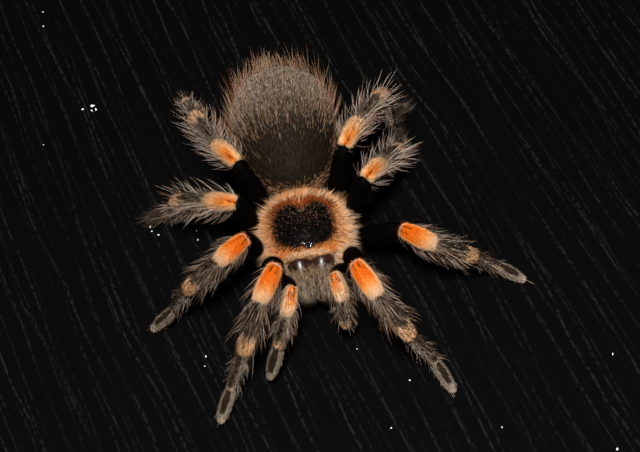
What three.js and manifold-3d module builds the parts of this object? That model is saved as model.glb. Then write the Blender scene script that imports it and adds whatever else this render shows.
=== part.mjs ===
// A dry tarantula fixed on a black wood-grain board in a plain square frame.
// Millimetres, +Z up. The origin is at the middle of the frame's flat back.
// The frame lies on its back, and the spider stands on the board with its head towards -Y.
import * as THREE from 'three';
import { mergeVertices } from 'three/addons/utils/BufferGeometryUtils.js';
import Module from 'manifold-3d';

const wasm = await Module();
wasm.setup();

// Frame
const OPENING = 200;
const RAIL_WIDTH = 16;
const RAIL_HEIGHT = 18;
const RAIL_CHAMFER = 1.5;
const LIP = 5;
const BOARD_THICKNESS = 6;
const GAP = 0.3;
const HALF_FRAME = OPENING / 2 + RAIL_WIDTH;

// Where the specimen stands on the board, and how far it is turned from the frame's own direction
const SPECIMEN_PLACE = [-6, -7];
const SPECIMEN_TURN = -16;

// Front part of the body. Heights are above the board's face, and places are from the carapace's middle.
const CARAPACE_HALF_WIDTH = 8.5;
const CARAPACE_HALF_LENGTH = 8.6;
const CARAPACE_BOTTOM = 9.2;
const CARAPACE_HEIGHT = 5.1;
// The dome's outline: shares of its half width and of its height
const CARAPACE_OUTLINE = [[0, 0], [0.93, 0], [1, 0.12], [0.95, 0.4], [0.8, 0.72], [0.5, 0.94], [0.15, 1],
  [0, 0.97]];
const EYE_MOUND = { radius: 1.6, place: [0, -5.9, 13] };
const STERNUM = { halfWidth: 4.2, halfLength: 6, halfHeight: 2.2, height: 6 };
// Each coxa runs from under the sternum to a hip. start is where it begins, as a share of the way out.
const COXA = { radius: 1.8, tipRadius: 1.44, start: 0.35, sides: 8, capSteps: 2 };

// Abdomen: an egg that is blunt at the rear, a little flatter than it is wide
const ABDOMEN = { front: [-0.3, 9.3, 9.4], rear: [-1.6, 40.8, 10.8], radius: 12, flatness: 0.8 };
// The egg's outline: shares of its radius and of its length
const ABDOMEN_OUTLINE = [[0, 0], [0.3, 0.015], [0.52, 0.06], [0.72, 0.17], [0.88, 0.32], [0.98, 0.47],
  [1, 0.6], [0.93, 0.75], [0.76, 0.88], [0.48, 0.965], [0.2, 0.995], [0, 1]];
// drop is how far the spinnerets lie under the egg's axis, and inside is how much of them is within it
const SPINNERET = { radius: 0.9, tipRadius: 0.54, length: 4, spread: 1.6, drop: 3.2, inside: 2.4 };

// Jaws
const CHELICERA = { base: [2.5, -8.9, 9.8], tip: [2.4, -15.8, 4.6], radii: [2.1, 2.3, 1.9] };
const FANG = { base: [2.4, -15.4, 2.7], length: 5.6, radius: 0.75, sag: 0.035, sides: 8 };
// The fang's outline: shares of its radius and of its length
const FANG_OUTLINE = [[0, 0], [1, 0.05], [0.9, 0.4], [0.5, 0.8], [0, 1]];

// Legs and palps. The radii are at the joints and at the widest place between them.
const HIP_HEIGHT = 6.8;
const HIPS = {
  leg_1: [8.8, -6.2],
  leg_2: [10.5, -2.4],
  leg_3: [10.3, 3.2],
  leg_4: [7.3, 7.8],
  palp: [6.9, -9.4],
};
const LEG_PIECES = ['femur', 'patella', 'tibia', 'metatarsus', 'tarsus'];
const LEG_JOINT_RADII = [1.6, 2.1, 2.05, 1.7, 1.3, 0.9];
const LEG_MIDDLE_RADII = [2.3, 2.35, 2.2, 1.7, 1.4];
const PALP_PIECES = ['femur', 'patella', 'tibia', 'tarsus'];
const PALP_JOINT_RADII = [1.3, 1.6, 1.6, 1.4, 0.9];
const PALP_MIDDLE_RADII = [1.5, 1.8, 1.8, 1.5];
// Lengths of the pieces past the knee, from the patella out
const LENGTHS = {
  leg_1: [9.4, 11.6, 9.8, 7],
  leg_2: [8.6, 10.4, 9, 6.4],
  leg_3: [7.6, 9, 9.6, 6.6],
  leg_4: [8.4, 12.2, 12, 7.2],
  palp: [6.8, 8.1, 7.6],
};
// The pose: where each knee is, then the heading and the pitch of every piece past it, in degrees.
// A heading of 0 is towards +X and 90 towards the spider's rear. A pitch below 0 goes down.
const POSE = [
  { side: 'left', limb: 'leg_1', knee: [-7, -13, 19],
    turns: [[243, 9], [232, -47], [222, -55], [241, -20]] },
  { side: 'left', limb: 'leg_2', knee: [-12.5, -4.5, 17.5],
    turns: [[224, 14], [189, -44], [180, -62], [202, -28]] },
  { side: 'left', limb: 'leg_3', knee: [-13, 3, 20],
    turns: [[158, -18], [152, -29], [122, -70], [168, -24]] },
  { side: 'left', limb: 'leg_4', knee: [-12, 12.5, 20.5],
    turns: [[120, -19], [111, -18], [103, -37], [105, -46]] },
  { side: 'right', limb: 'leg_1', knee: [9, -15.5, 19],
    turns: [[290, 8], [312, -48], [330, -58], [293, -16]] },
  { side: 'right', limb: 'leg_2', knee: [20, -7, 14.5],
    turns: [[314, 13], [357, -41], [10, -55], [323, -9]] },
  { side: 'right', limb: 'leg_3', knee: [14, 3, 21],
    turns: [[50, -28], [54, -36], [82, -52], [80, -28]] },
  { side: 'right', limb: 'leg_4', knee: [11, 12, 20.5],
    turns: [[60, -15], [54, -21], [300, -86], [45, -7]] },
  { side: 'left', limb: 'palp', knee: [-4.5, -16.5, 15],
    turns: [[253, 5], [226, -62], [234, -48]] },
  { side: 'right', limb: 'palp', knee: [4.5, -15, 15],
    turns: [[277, 7], [262, -80], [60, -62]] },
];

// Roundness of the turned pieces
const SIDES = 10;
const BODY_SIDES = 24;
const BALL_ROWS = 6;
const CAP_STEPS = 3;
// How far along a tube its widest place is
const WIDEST_PLACE = 0.55;
const UP = new THREE.Vector3(0, 1, 0);

const material = (color, roughness) => new THREE.MeshStandardMaterial({ color, roughness, metalness: 0 });
const looks = {
  laminate: () => material(0x0c0c0d, 0.45),
  rail: () => material(0x101010, 0.4),
  shield: () => material(0x1a1310, 0.6),
  skin: () => material(0x15110f, 0.8),
  coat: () => material(0x3a3026, 0.9),
  orange: () => material(0xe07a30, 0.85),
  fang: () => material(0x120c0a, 0.25),
};
const LIMB_LOOKS = {
  femur: looks.skin,
  patella: looks.orange,
  tibia: looks.coat,
  metatarsus: looks.coat,
  tarsus: looks.coat,
};

function named(name, geometry, look) {
  const mesh = new THREE.Mesh(geometry, look);
  mesh.name = name;
  return mesh;
}

// The surface turned round +Y from an outline given as shares of a radius and of a length.
function turnedFrom(outline, radius, length, sides) {
  const profile = outline.map(([out, along]) => new THREE.Vector2(out * radius, along * length));
  return new THREE.LatheGeometry(profile, sides);
}

// A geometry as a manifold solid, with its seams merged and its flat pole triangles left out.
function toSolid(geometry) {
  const bare = geometry.clone();
  bare.deleteAttribute('normal');
  bare.deleteAttribute('uv');
  const merged = mergeVertices(bare, 1e-4);
  const corners = merged.index.array;
  const kept = [];
  for (let i = 0; i < corners.length; i += 3) {
    const [a, b, c] = corners.slice(i, i + 3);
    if (a !== b && b !== c && c !== a) kept.push(a, b, c);
  }
  const vertProperties = new Float32Array(merged.attributes.position.array);
  return new wasm.Manifold(new wasm.Mesh({ numProp: 3, vertProperties, triVerts: new Uint32Array(kept) }));
}

function joined(geometries) {
  let whole = toSolid(geometries[0]);
  for (const next of geometries.slice(1)) whole = whole.add(toSolid(next));
  const { vertProperties, triVerts } = whole.getMesh();
  const result = new THREE.BufferGeometry();
  result.setAttribute('position', new THREE.BufferAttribute(vertProperties, 3));
  result.setIndex(new THREE.BufferAttribute(triVerts, 1));
  result.computeVertexNormals();
  return result;
}

function direction(heading, pitch) {
  const h = THREE.MathUtils.degToRad(heading);
  const p = THREE.MathUtils.degToRad(pitch);
  return new THREE.Vector3(Math.cos(p) * Math.cos(h), Math.cos(p) * Math.sin(h), Math.sin(p));
}

// A tube with round ends along +Y, from y = 0 to its length, widest a little past its middle.
function tubePiece(length, startRadius, middleRadius, endRadius, sides = SIDES, capSteps = CAP_STEPS) {
  const profile = [];
  for (let i = 0; i <= capSteps; i += 1) {
    const angle = (i / capSteps) * Math.PI / 2;
    profile.push(new THREE.Vector2(startRadius * Math.sin(angle), startRadius * (1 - Math.cos(angle))));
  }
  profile.push(new THREE.Vector2(middleRadius, length * WIDEST_PLACE));
  for (let i = capSteps; i >= 0; i -= 1) {
    const angle = (i / capSteps) * Math.PI / 2;
    profile.push(new THREE.Vector2(endRadius * Math.sin(angle), length - endRadius * (1 - Math.cos(angle))));
  }
  return new THREE.LatheGeometry(profile, sides);
}

// The same tube laid from one point to another.
function tubeBetween(start, end, radii, sides, capSteps) {
  const along = end.clone().sub(start);
  const geometry = tubePiece(along.length(), ...radii, sides, capSteps);
  const turn = new THREE.Quaternion().setFromUnitVectors(UP, along.normalize());
  return geometry.applyQuaternion(turn).translate(start.x, start.y, start.z);
}

// How far a round end stands back from a joint, so that two pieces bent there keep their gap.
function setback(radius, before, after) {
  const bend = before.angleTo(after);
  return (radius + GAP / 2) / Math.cos(bend / 2) - radius;
}

function board() {
  const side = OPENING + 2 * LIP - 2 * GAP;
  const geometry = new THREE.BoxGeometry(side, side, BOARD_THICKNESS);
  const mesh = named('backing_board', geometry, looks.laminate());
  mesh.position.z = BOARD_THICKNESS / 2;
  return mesh;
}

// A rail along the frame's -Y side: an L section whose ends are cut at 45 degrees.
function railGeometry() {
  const rabbet = RAIL_WIDTH - LIP;
  const shelf = BOARD_THICKNESS + GAP;
  const section = new THREE.Shape([
    new THREE.Vector2(0, 0),
    new THREE.Vector2(rabbet, 0),
    new THREE.Vector2(rabbet, shelf),
    new THREE.Vector2(RAIL_WIDTH, shelf),
    new THREE.Vector2(RAIL_WIDTH, RAIL_HEIGHT - RAIL_CHAMFER),
    new THREE.Vector2(RAIL_WIDTH - RAIL_CHAMFER, RAIL_HEIGHT),
    new THREE.Vector2(RAIL_CHAMFER, RAIL_HEIGHT),
    new THREE.Vector2(0, RAIL_HEIGHT - RAIL_CHAMFER),
  ]);
  const geometry = new THREE.ExtrudeGeometry(section, { depth: 1, bevelEnabled: false });
  const places = geometry.attributes.position;
  for (let i = 0; i < places.count; i += 1) {
    const inward = places.getX(i);
    const height = places.getY(i);
    const end = places.getZ(i) > 0.5 ? 1 : -1;
    places.setXYZ(i, end * (HALF_FRAME - GAP - inward), inward - HALF_FRAME, height);
  }
  geometry.computeVertexNormals();
  return geometry;
}

function rails() {
  const frame = new THREE.Group();
  ['front_rail', 'right_rail', 'back_rail', 'left_rail'].forEach((name, quarter) => {
    const rail = named(name, railGeometry(), looks.rail());
    rail.rotation.z = quarter * Math.PI / 2;
    frame.add(rail);
  });
  return frame;
}

function carapace() {
  const shield = turnedFrom(CARAPACE_OUTLINE, 1, 1, BODY_SIDES);
  shield.rotateX(Math.PI / 2);
  shield.scale(CARAPACE_HALF_WIDTH, CARAPACE_HALF_LENGTH, CARAPACE_HEIGHT);
  shield.translate(0, 0, CARAPACE_BOTTOM);
  const mound = new THREE.SphereGeometry(EYE_MOUND.radius, SIDES, BALL_ROWS);
  mound.translate(...EYE_MOUND.place);
  return named('carapace', joined([shield, mound]), looks.shield());
}

function underside() {
  const plate = new THREE.SphereGeometry(1, BODY_SIDES / 2, BALL_ROWS);
  plate.scale(STERNUM.halfWidth, STERNUM.halfLength, STERNUM.halfHeight);
  plate.translate(0, 0, STERNUM.height);
  const pieces = [plate];
  for (const [x, y] of Object.values(HIPS)) {
    for (const side of [-1, 1]) {
      const hip = new THREE.Vector3(side * x, y, HIP_HEIGHT);
      const inner = new THREE.Vector3(side * x * COXA.start, y * COXA.start, STERNUM.height);
      const end = hip.clone().sub(hip.clone().sub(inner).setLength(COXA.radius / 2));
      const radii = [COXA.radius, COXA.radius, COXA.tipRadius];
      pieces.push(tubeBetween(inner, end, radii, COXA.sides, COXA.capSteps));
    }
  }
  return named('underside', joined(pieces), looks.skin());
}

function abdomen() {
  const front = new THREE.Vector3(...ABDOMEN.front);
  const rear = new THREE.Vector3(...ABDOMEN.rear);
  const length = front.distanceTo(rear);
  const egg = turnedFrom(ABDOMEN_OUTLINE, ABDOMEN.radius, length, BODY_SIDES);
  egg.scale(1, 1, ABDOMEN.flatness);
  const pieces = [egg];
  for (const side of [-1, 1]) {
    const spinneret = tubePiece(SPINNERET.length, SPINNERET.radius, SPINNERET.radius, SPINNERET.tipRadius);
    spinneret.translate(side * SPINNERET.spread, length - SPINNERET.inside, -SPINNERET.drop);
    pieces.push(spinneret);
  }
  const mesh = named('abdomen', joined(pieces), looks.coat());
  mesh.quaternion.setFromUnitVectors(UP, rear.clone().sub(front).normalize());
  mesh.position.copy(front);
  return mesh;
}

function jaws() {
  const pair = new THREE.Group();
  for (const [name, side] of [['left', -1], ['right', 1]]) {
    const mirror = ([x, y, z]) => new THREE.Vector3(side * x, y, z);
    const base = tubeBetween(mirror(CHELICERA.base), mirror(CHELICERA.tip), CHELICERA.radii);
    pair.add(named(`${name}_chelicera`, base, looks.skin()));
    const tooth = turnedFrom(FANG_OUTLINE, FANG.radius, FANG.length, FANG.sides);
    const places = tooth.attributes.position;
    for (let i = 0; i < places.count; i += 1) {
      places.setZ(i, places.getZ(i) - FANG.sag * places.getY(i) ** 2);
    }
    tooth.computeVertexNormals();
    const fang = named(`${name}_fang`, tooth, looks.fang());
    fang.position.copy(mirror(FANG.base));
    pair.add(fang);
  }
  return pair;
}

// One limb: a femur from the hip to the knee, then the other pieces one after another.
function limb({ side, limb: kind, knee, turns }) {
  const isLeg = kind !== 'palp';
  const pieces = isLeg ? LEG_PIECES : PALP_PIECES;
  const jointRadii = isLeg ? LEG_JOINT_RADII : PALP_JOINT_RADII;
  const middleRadii = isLeg ? LEG_MIDDLE_RADII : PALP_MIDDLE_RADII;
  const [hipX, hipY] = HIPS[kind];
  const hip = new THREE.Vector3(side === 'left' ? -hipX : hipX, hipY, HIP_HEIGHT);
  const joints = [hip, new THREE.Vector3(...knee)];
  turns.forEach(([heading, pitch], index) => {
    const last = joints[joints.length - 1];
    joints.push(last.clone().addScaledVector(direction(heading, pitch), LENGTHS[kind][index]));
  });
  const ways = joints.slice(1).map((joint, index) => joint.clone().sub(joints[index]).normalize());
  const coxaWay = joints[0].clone().setZ(0).normalize();
  const group = new THREE.Group();
  pieces.forEach((piece, index) => {
    const way = ways[index];
    const startBack = setback(jointRadii[index], index ? ways[index - 1] : coxaWay, way);
    const endBack = index + 1 < ways.length ? setback(jointRadii[index + 1], way, ways[index + 1]) : 0;
    const start = joints[index].clone().addScaledVector(way, startBack);
    const end = joints[index + 1].clone().addScaledVector(way, -endBack);
    const radii = [jointRadii[index], middleRadii[index], jointRadii[index + 1]];
    group.add(named(`${side}_${kind}_${piece}`, tubeBetween(start, end, radii), LIMB_LOOKS[piece]()));
  });
  return group;
}

function specimen() {
  const spider = new THREE.Group();
  spider.add(carapace(), underside(), abdomen(), jaws());
  for (const pose of POSE) spider.add(limb(pose));
  spider.position.set(...SPECIMEN_PLACE, BOARD_THICKNESS);
  spider.rotation.z = THREE.MathUtils.degToRad(SPECIMEN_TURN);
  return spider;
}

const part = new THREE.Group();
part.add(board(), rails(), specimen());

export default part;
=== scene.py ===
import math

import bpy
import numpy as np
from mathutils import Matrix, Vector


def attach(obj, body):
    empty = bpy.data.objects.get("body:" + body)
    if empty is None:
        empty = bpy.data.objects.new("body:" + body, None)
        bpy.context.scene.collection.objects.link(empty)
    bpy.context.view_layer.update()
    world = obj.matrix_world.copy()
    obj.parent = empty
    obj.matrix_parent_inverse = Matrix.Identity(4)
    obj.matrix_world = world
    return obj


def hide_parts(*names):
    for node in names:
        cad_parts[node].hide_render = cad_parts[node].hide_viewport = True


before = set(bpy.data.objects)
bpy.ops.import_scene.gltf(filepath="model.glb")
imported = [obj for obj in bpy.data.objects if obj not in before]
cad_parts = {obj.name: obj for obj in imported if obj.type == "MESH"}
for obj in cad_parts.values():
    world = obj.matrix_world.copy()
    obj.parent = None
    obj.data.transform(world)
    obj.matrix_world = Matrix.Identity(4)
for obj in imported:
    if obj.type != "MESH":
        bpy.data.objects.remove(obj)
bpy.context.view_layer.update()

# ---------------------------------------------------------------- driving values
MM = 0.001

# Where the specimen stands, as in the part: its own millimetres are measured from the middle of the
# carapace, on the board's face, with the head towards -Y.
SPECIMEN_PLACE = (-6, -7)
SPECIMEN_TURN = math.radians(-16)
BOARD_TOP = 6

# The camera looks down at the board over the spider's head.
CAMERA_AIM = (3.2, 5.5, 0)
CAMERA_ELEVATION = math.radians(60)
CAMERA_ROLL = math.radians(9.5)
CAMERA_DISTANCE = 333
CAMERA_LENS = 85.2
SENSOR_WIDTH = 36

LEG_PIECES = ("femur", "patella", "tibia", "metatarsus", "tarsus")
PALP_PIECES = ("femur", "patella", "tibia", "tarsus")
LIMBS = [f"{side}_leg_{number}" for side in ("left", "right") for number in (1, 2, 3, 4)]
PALPS = ["left_palp", "right_palp"]

# Tones of hair and of the skin under it, from 0 to 1 along one strip of colours
BLACK, DARK, BROWN, OLIVE, ASH, TAN, PEACH, CREAM = 0.0, 0.08, 0.16, 0.24, 0.32, 0.40, 0.48, 0.55
LIGHT_ORANGE, ORANGE, RUST, SALMON, PINK, PALE = 0.63, 0.71, 0.79, 0.85, 0.92, 1.0
WARM_STRAW = 0.6
TONES = [
    (BLACK, (0.0012, 0.0009, 0.0008)),
    (DARK, (0.018, 0.012, 0.0075)),
    (BROWN, (0.100, 0.061, 0.037)),
    (OLIVE, (0.195, 0.153, 0.108)),
    (ASH, (0.370, 0.315, 0.255)),
    (TAN, (0.420, 0.270, 0.150)),
    (PEACH, (0.720, 0.420, 0.220)),
    (CREAM, (0.900, 0.560, 0.300)),
    (LIGHT_ORANGE, (0.900, 0.330, 0.065)),
    (ORANGE, (0.900, 0.160, 0.003)),
    (RUST, (0.170, 0.036, 0.008)),
    (SALMON, (0.520, 0.220, 0.085)),
    (PINK, (0.720, 0.470, 0.340)),
    (PALE, (0.920, 0.760, 0.620)),
]

TURN = Matrix.Rotation(SPECIMEN_TURN, 4, "Z")
PLACE = Matrix.Translation(Vector((*SPECIMEN_PLACE, BOARD_TOP)) * MM) @ TURN


def spot(x, y, z):
    """A point of the specimen, in its own millimetres, as a place in the frame in metres."""
    return PLACE @ (Vector((x, y, z)) * MM)


def way(x, y, z):
    """A direction of the specimen as a direction in the frame."""
    return (TURN.to_3x3() @ Vector((x, y, z))).normalized()


# ---------------------------------------------------------------- shader parts
# How deep the relief of a skin and of a shell or a paint goes, in millimetres
SKIN_RELIEF = 0.1
SHELL_RELIEF = 0.05
# How dark a skin's colour gets in its grain
SKIN_SHADE = 0.35
# Where the clouds of a mottled finish start and end
CLOUD_EDGES = (0.35, 0.65)


def new_material(name, roughness, specular=0.5):
    material = bpy.data.materials.new(name)
    material.use_nodes = True
    shader = material.node_tree.nodes["Principled BSDF"]
    shader.inputs["Roughness"].default_value = roughness
    shader.inputs["Specular IOR Level"].default_value = specular
    return material, material.node_tree.nodes, material.node_tree.links, shader


def tone_group():
    """Turns a tone from 0 to 1 into its colour, and darkens it by a depth from 0 at the root to 1. On a coat
    this darkening is painted shade towards the strands' roots; on a skin the depth is its grain.
    """
    group = bpy.data.node_groups.new("coat_tone", "ShaderNodeTree")
    group.interface.new_socket("Tone", in_out="INPUT", socket_type="NodeSocketFloat")
    group.interface.new_socket("Depth", in_out="INPUT", socket_type="NodeSocketFloat")
    group.interface.new_socket("Root Shade", in_out="INPUT", socket_type="NodeSocketFloat")
    group.interface.new_socket("Colour", in_out="OUTPUT", socket_type="NodeSocketColor")
    nodes, links = group.nodes, group.links
    given = nodes.new("NodeGroupInput")
    result = nodes.new("NodeGroupOutput")
    ramp = nodes.new("ShaderNodeValToRGB")
    stops = ramp.color_ramp.elements
    stops[0].position, stops[0].color = TONES[0][0], (*TONES[0][1], 1)
    stops[1].position, stops[1].color = TONES[-1][0], (*TONES[-1][1], 1)
    for position, colour in TONES[1:-1]:
        stops.new(position).color = (*colour, 1)
    shade = nodes.new("ShaderNodeMapRange")
    scale = nodes.new("ShaderNodeVectorMath")
    scale.operation = "SCALE"
    links.new(given.outputs["Tone"], ramp.inputs["Fac"])
    links.new(given.outputs["Depth"], shade.inputs["Value"])
    links.new(given.outputs["Root Shade"], shade.inputs["To Min"])
    links.new(ramp.outputs["Color"], scale.inputs[0])
    links.new(shade.outputs["Result"], scale.inputs["Scale"])
    links.new(scale.outputs["Vector"], result.inputs["Colour"])
    return group


TONE_GROUP = tone_group()


def add_tone(nodes, links, tone, depth, root_shade):
    """Places the tone group in a material; tone and depth are sockets, or depth is None."""
    group = nodes.new("ShaderNodeGroup")
    group.node_tree = TONE_GROUP
    group.inputs["Root Shade"].default_value = root_shade
    group.inputs["Depth"].default_value = 1
    links.new(tone, group.inputs["Tone"])
    if depth is not None:
        links.new(depth, group.inputs["Depth"])
    return group.outputs["Colour"]


def add_noise(nodes, links, scale, detail):
    """Cloudy noise laid over the piece by its Object coordinates."""
    place = nodes.new("ShaderNodeTexCoord")
    noise = nodes.new("ShaderNodeTexNoise")
    noise.inputs["Scale"].default_value = scale
    noise.inputs["Detail"].default_value = detail
    links.new(place.outputs["Object"], noise.inputs["Vector"])
    return noise.outputs["Fac"]


def add_relief(nodes, links, shader, height, strength, distance):
    """Raises a material's surface by a height; distance is in millimetres."""
    relief = nodes.new("ShaderNodeBump")
    relief.inputs["Strength"].default_value = strength
    relief.inputs["Distance"].default_value = distance * MM
    links.new(height, relief.inputs["Height"])
    links.new(relief.outputs["Normal"], shader.inputs["Normal"])


def add_blend(nodes, links, shader, first, second, share):
    """Colours a material from the first colour to the second by a mask."""
    blend = nodes.new("ShaderNodeMix")
    blend.data_type = "RGBA"
    blend.inputs["A"].default_value = (*first, 1)
    blend.inputs["B"].default_value = (*second, 1)
    links.new(share, blend.inputs["Factor"])
    links.new(blend.outputs["Result"], shader.inputs["Base Color"])


def coat_material(name, roughness, specular, root_shade):
    """Hair: every strand has one tone across its strip of the UV map, with painted shade darkening it
    towards the root.
    """
    material, nodes, links, shader = new_material(name, roughness, specular)
    strip = nodes.new("ShaderNodeUVMap")
    strip.uv_map = "OFBake"
    split = nodes.new("ShaderNodeSeparateXYZ")
    links.new(strip.outputs["UV"], split.inputs["Vector"])
    colour = add_tone(nodes, links, split.outputs["X"], split.outputs["Y"], root_shade)
    links.new(colour, shader.inputs["Base Color"])
    return material


def skin_material(name, roughness, specular, grain, bump):
    """Skin under hair: the tone is painted on the piece, and a fine grain varies it and roughens it."""
    material, nodes, links, shader = new_material(name, roughness, specular)
    tint = nodes.new("ShaderNodeAttribute")
    tint.attribute_name = "tone"
    noise = add_noise(nodes, links, grain, detail=4)
    colour = add_tone(nodes, links, tint.outputs["Fac"], noise, SKIN_SHADE)
    links.new(colour, shader.inputs["Base Color"])
    add_relief(nodes, links, shader, noise, bump, SKIN_RELIEF)
    return material


def mottled_material(name, dark, light, roughness, specular, grain, bump, ior=1.5):
    """Horn, glossy shell or chalky crumb: two colours in soft clouds, with a slight relief."""
    material, nodes, links, shader = new_material(name, roughness, specular)
    shader.inputs["IOR"].default_value = ior
    noise = add_noise(nodes, links, grain, detail=3)
    spread = nodes.new("ShaderNodeMapRange")
    spread.inputs["From Min"].default_value, spread.inputs["From Max"].default_value = CLOUD_EDGES
    links.new(noise, spread.inputs["Value"])
    add_blend(nodes, links, shader, dark, light, spread.outputs["Result"])
    add_relief(nodes, links, shader, noise, bump, SHELL_RELIEF)
    return material


def grain_group():
    """Wood grain along Y: thin wavy lines, broken into dashes, as a mask. Lines is how many lie on a
    metre, Wobble how many line widths they wander, and Thickness their share of the spacing."""
    group = bpy.data.node_groups.new("grain_lines", "ShaderNodeTree")
    for name in ("Lines", "Wobble", "Thickness"):
        group.interface.new_socket(name, in_out="INPUT", socket_type="NodeSocketFloat")
    group.interface.new_socket("Mask", in_out="OUTPUT", socket_type="NodeSocketFloat")
    nodes, links = group.nodes, group.links
    given = nodes.new("NodeGroupInput")
    result = nodes.new("NodeGroupOutput")
    place = nodes.new("ShaderNodeTexCoord").outputs["Object"]

    def noise(across, along, detail):
        stretch = nodes.new("ShaderNodeVectorMath")
        stretch.operation = "MULTIPLY"
        stretch.inputs[1].default_value = (across, along, along)
        texture = nodes.new("ShaderNodeTexNoise")
        texture.noise_dimensions = "4D"
        texture.inputs["Scale"].default_value = 1
        texture.inputs["Detail"].default_value = detail
        links.new(given.outputs["Lines"], texture.inputs["W"])
        links.new(place, stretch.inputs[0])
        links.new(stretch.outputs["Vector"], texture.inputs["Vector"])
        return texture.outputs["Fac"]

    def math_of(operation, first, second, third=None):
        step = nodes.new("ShaderNodeMath")
        step.operation = operation
        for socket, value in zip(step.inputs, (first, second, third)):
            if isinstance(value, (int, float)):
                socket.default_value = value
            elif value is not None:
                links.new(value, socket)
        return step.outputs["Value"]

    def ramp_of(value, low, high, bottom=0.0, top=1.0):
        step = nodes.new("ShaderNodeMapRange")
        step.interpolation_type = "SMOOTHSTEP"
        for name, number in (("From Min", low), ("From Max", high), ("To Min", bottom), ("To Max", top)):
            if isinstance(number, (int, float)):
                step.inputs[name].default_value = number
            else:
                links.new(number, step.inputs[name])
        links.new(value, step.inputs["Value"])
        return step.outputs["Result"]

    split = nodes.new("ShaderNodeSeparateXYZ")
    links.new(place, split.inputs["Vector"])
    wander = math_of("MULTIPLY", noise(30, 14, 2), given.outputs["Wobble"])
    count = math_of("MULTIPLY_ADD", split.outputs["X"], given.outputs["Lines"], wander)
    away = math_of("PINGPONG", count, 0.5)
    line = ramp_of(away, 0.0, given.outputs["Thickness"], 1.0, 0.0)
    dashes = ramp_of(noise(1500, 800, 1), 0.4, 0.6, 0.05, 1.0)
    patches = ramp_of(noise(200, 34, 1), 0.38, 0.6, 0.12, 1.0)
    links.new(math_of("MULTIPLY", math_of("MULTIPLY", line, dashes), patches), result.inputs["Mask"])
    return group


GRAIN_GROUP = grain_group()


def grained_material(name, base, streak, roughness, specular, layers, bump):
    """Black wood-grain finish: each layer is (lines, wobble, thickness, strength)."""
    material, nodes, links, shader = new_material(name, roughness, specular)
    total = None
    for lines, wobble, thickness, strength in layers:
        grain = nodes.new("ShaderNodeGroup")
        grain.node_tree = GRAIN_GROUP
        grain.inputs["Lines"].default_value = lines
        grain.inputs["Wobble"].default_value = wobble
        grain.inputs["Thickness"].default_value = thickness
        weigh = nodes.new("ShaderNodeMath")
        weigh.operation = "MULTIPLY"
        weigh.inputs[1].default_value = strength
        links.new(grain.outputs["Mask"], weigh.inputs[0])
        if total is None:
            total = weigh.outputs["Value"]
            continue
        both = nodes.new("ShaderNodeMath")
        both.operation = "MAXIMUM"
        links.new(total, both.inputs[0])
        links.new(weigh.outputs["Value"], both.inputs[1])
        total = both.outputs["Value"]
    add_blend(nodes, links, shader, base, streak, total)
    add_relief(nodes, links, shader, total, bump, SHELL_RELIEF)
    return material


# ---------------------------------------------------------------- modelling helpers
MERGE_DISTANCE = 1e-6


def deselect():
    if bpy.context.object and bpy.context.object.mode != "OBJECT":
        bpy.ops.object.mode_set(mode="OBJECT")
    bpy.ops.object.select_all(action="DESELECT")


def edit(piece, chosen=(), faces=False):
    """Opens a piece for editing with only the chosen points, or faces, selected."""
    deselect()
    bpy.context.view_layer.objects.active = piece
    piece.select_set(True)
    bpy.ops.object.mode_set(mode="EDIT")
    bpy.ops.mesh.select_mode(type="FACE" if faces else "VERT")
    bpy.ops.mesh.select_all(action="DESELECT")
    bpy.ops.object.mode_set(mode="OBJECT")
    for index in chosen:
        (piece.data.polygons if faces else piece.data.vertices)[index].select = True
    bpy.ops.object.mode_set(mode="EDIT")


def settle(mesh):
    """Puts the mesh's points and faces in order of place. The modelling tools can leave them in another
    order on each run, and scatter draws faces by their number."""
    places = np.empty(len(mesh.vertices) * 3)
    mesh.vertices.foreach_get("co", places)
    places = places.reshape(-1, 3)
    order = np.lexsort(np.round(places / MM, 4).T)
    rank = np.argsort(order)
    faces = []
    for face in mesh.polygons:
        corners = [int(rank[index]) for index in face.vertices]
        first = corners.index(min(corners))
        faces.append(corners[first:] + corners[:first])
    mesh.clear_geometry()
    mesh.from_pydata(places[order].tolist(), [], sorted(faces))


def finish_mesh(piece, levels=1):
    """Subdivides the piece once its shape is made, turns its faces outwards and smooths it."""
    edit(piece)
    bpy.ops.mesh.select_all(action="SELECT")
    bpy.ops.mesh.remove_doubles(threshold=MERGE_DISTANCE)
    bpy.ops.mesh.normals_make_consistent(inside=False)
    bpy.ops.object.mode_set(mode="OBJECT")
    if levels:
        settle(piece.data)
        modifier = piece.modifiers.new("smooth", "SUBSURF")
        modifier.levels = modifier.render_levels = levels
        bpy.ops.object.modifier_apply(modifier="smooth")
    bpy.ops.object.shade_smooth()
    return piece


def turned(name, rings, sides=16, levels=1):
    """A closed body round Z: a disc drawn out through rings of (height, radius), in millimetres."""
    deselect()
    low, thin = rings[0]
    bpy.ops.mesh.primitive_circle_add(vertices=sides, radius=thin * MM, fill_type="NGON")
    piece = bpy.context.object
    piece.name = piece.data.name = name
    bpy.ops.object.mode_set(mode="EDIT")
    bpy.ops.mesh.select_all(action="SELECT")
    bpy.ops.transform.translate(value=(0, 0, low * MM))
    for height, radius in rings[1:]:
        bpy.ops.mesh.extrude_region_move(TRANSFORM_OT_translate={"value": (0, 0, (height - low) * MM)})
        growth = radius / thin
        bpy.ops.transform.resize(value=(growth, growth, 1), center_override=(0, 0, height * MM))
        low, thin = height, radius
    bpy.ops.object.mode_set(mode="OBJECT")
    return finish_mesh(piece, levels)


def copy_of(model, name, matrix):
    """A copy of a modelled piece with its own mesh, its place in its vertices."""
    piece = bpy.data.objects.new(name, model.data.copy())
    piece.data.name = name
    bpy.context.collection.objects.link(piece)
    piece.data.transform(matrix)
    return piece


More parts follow.
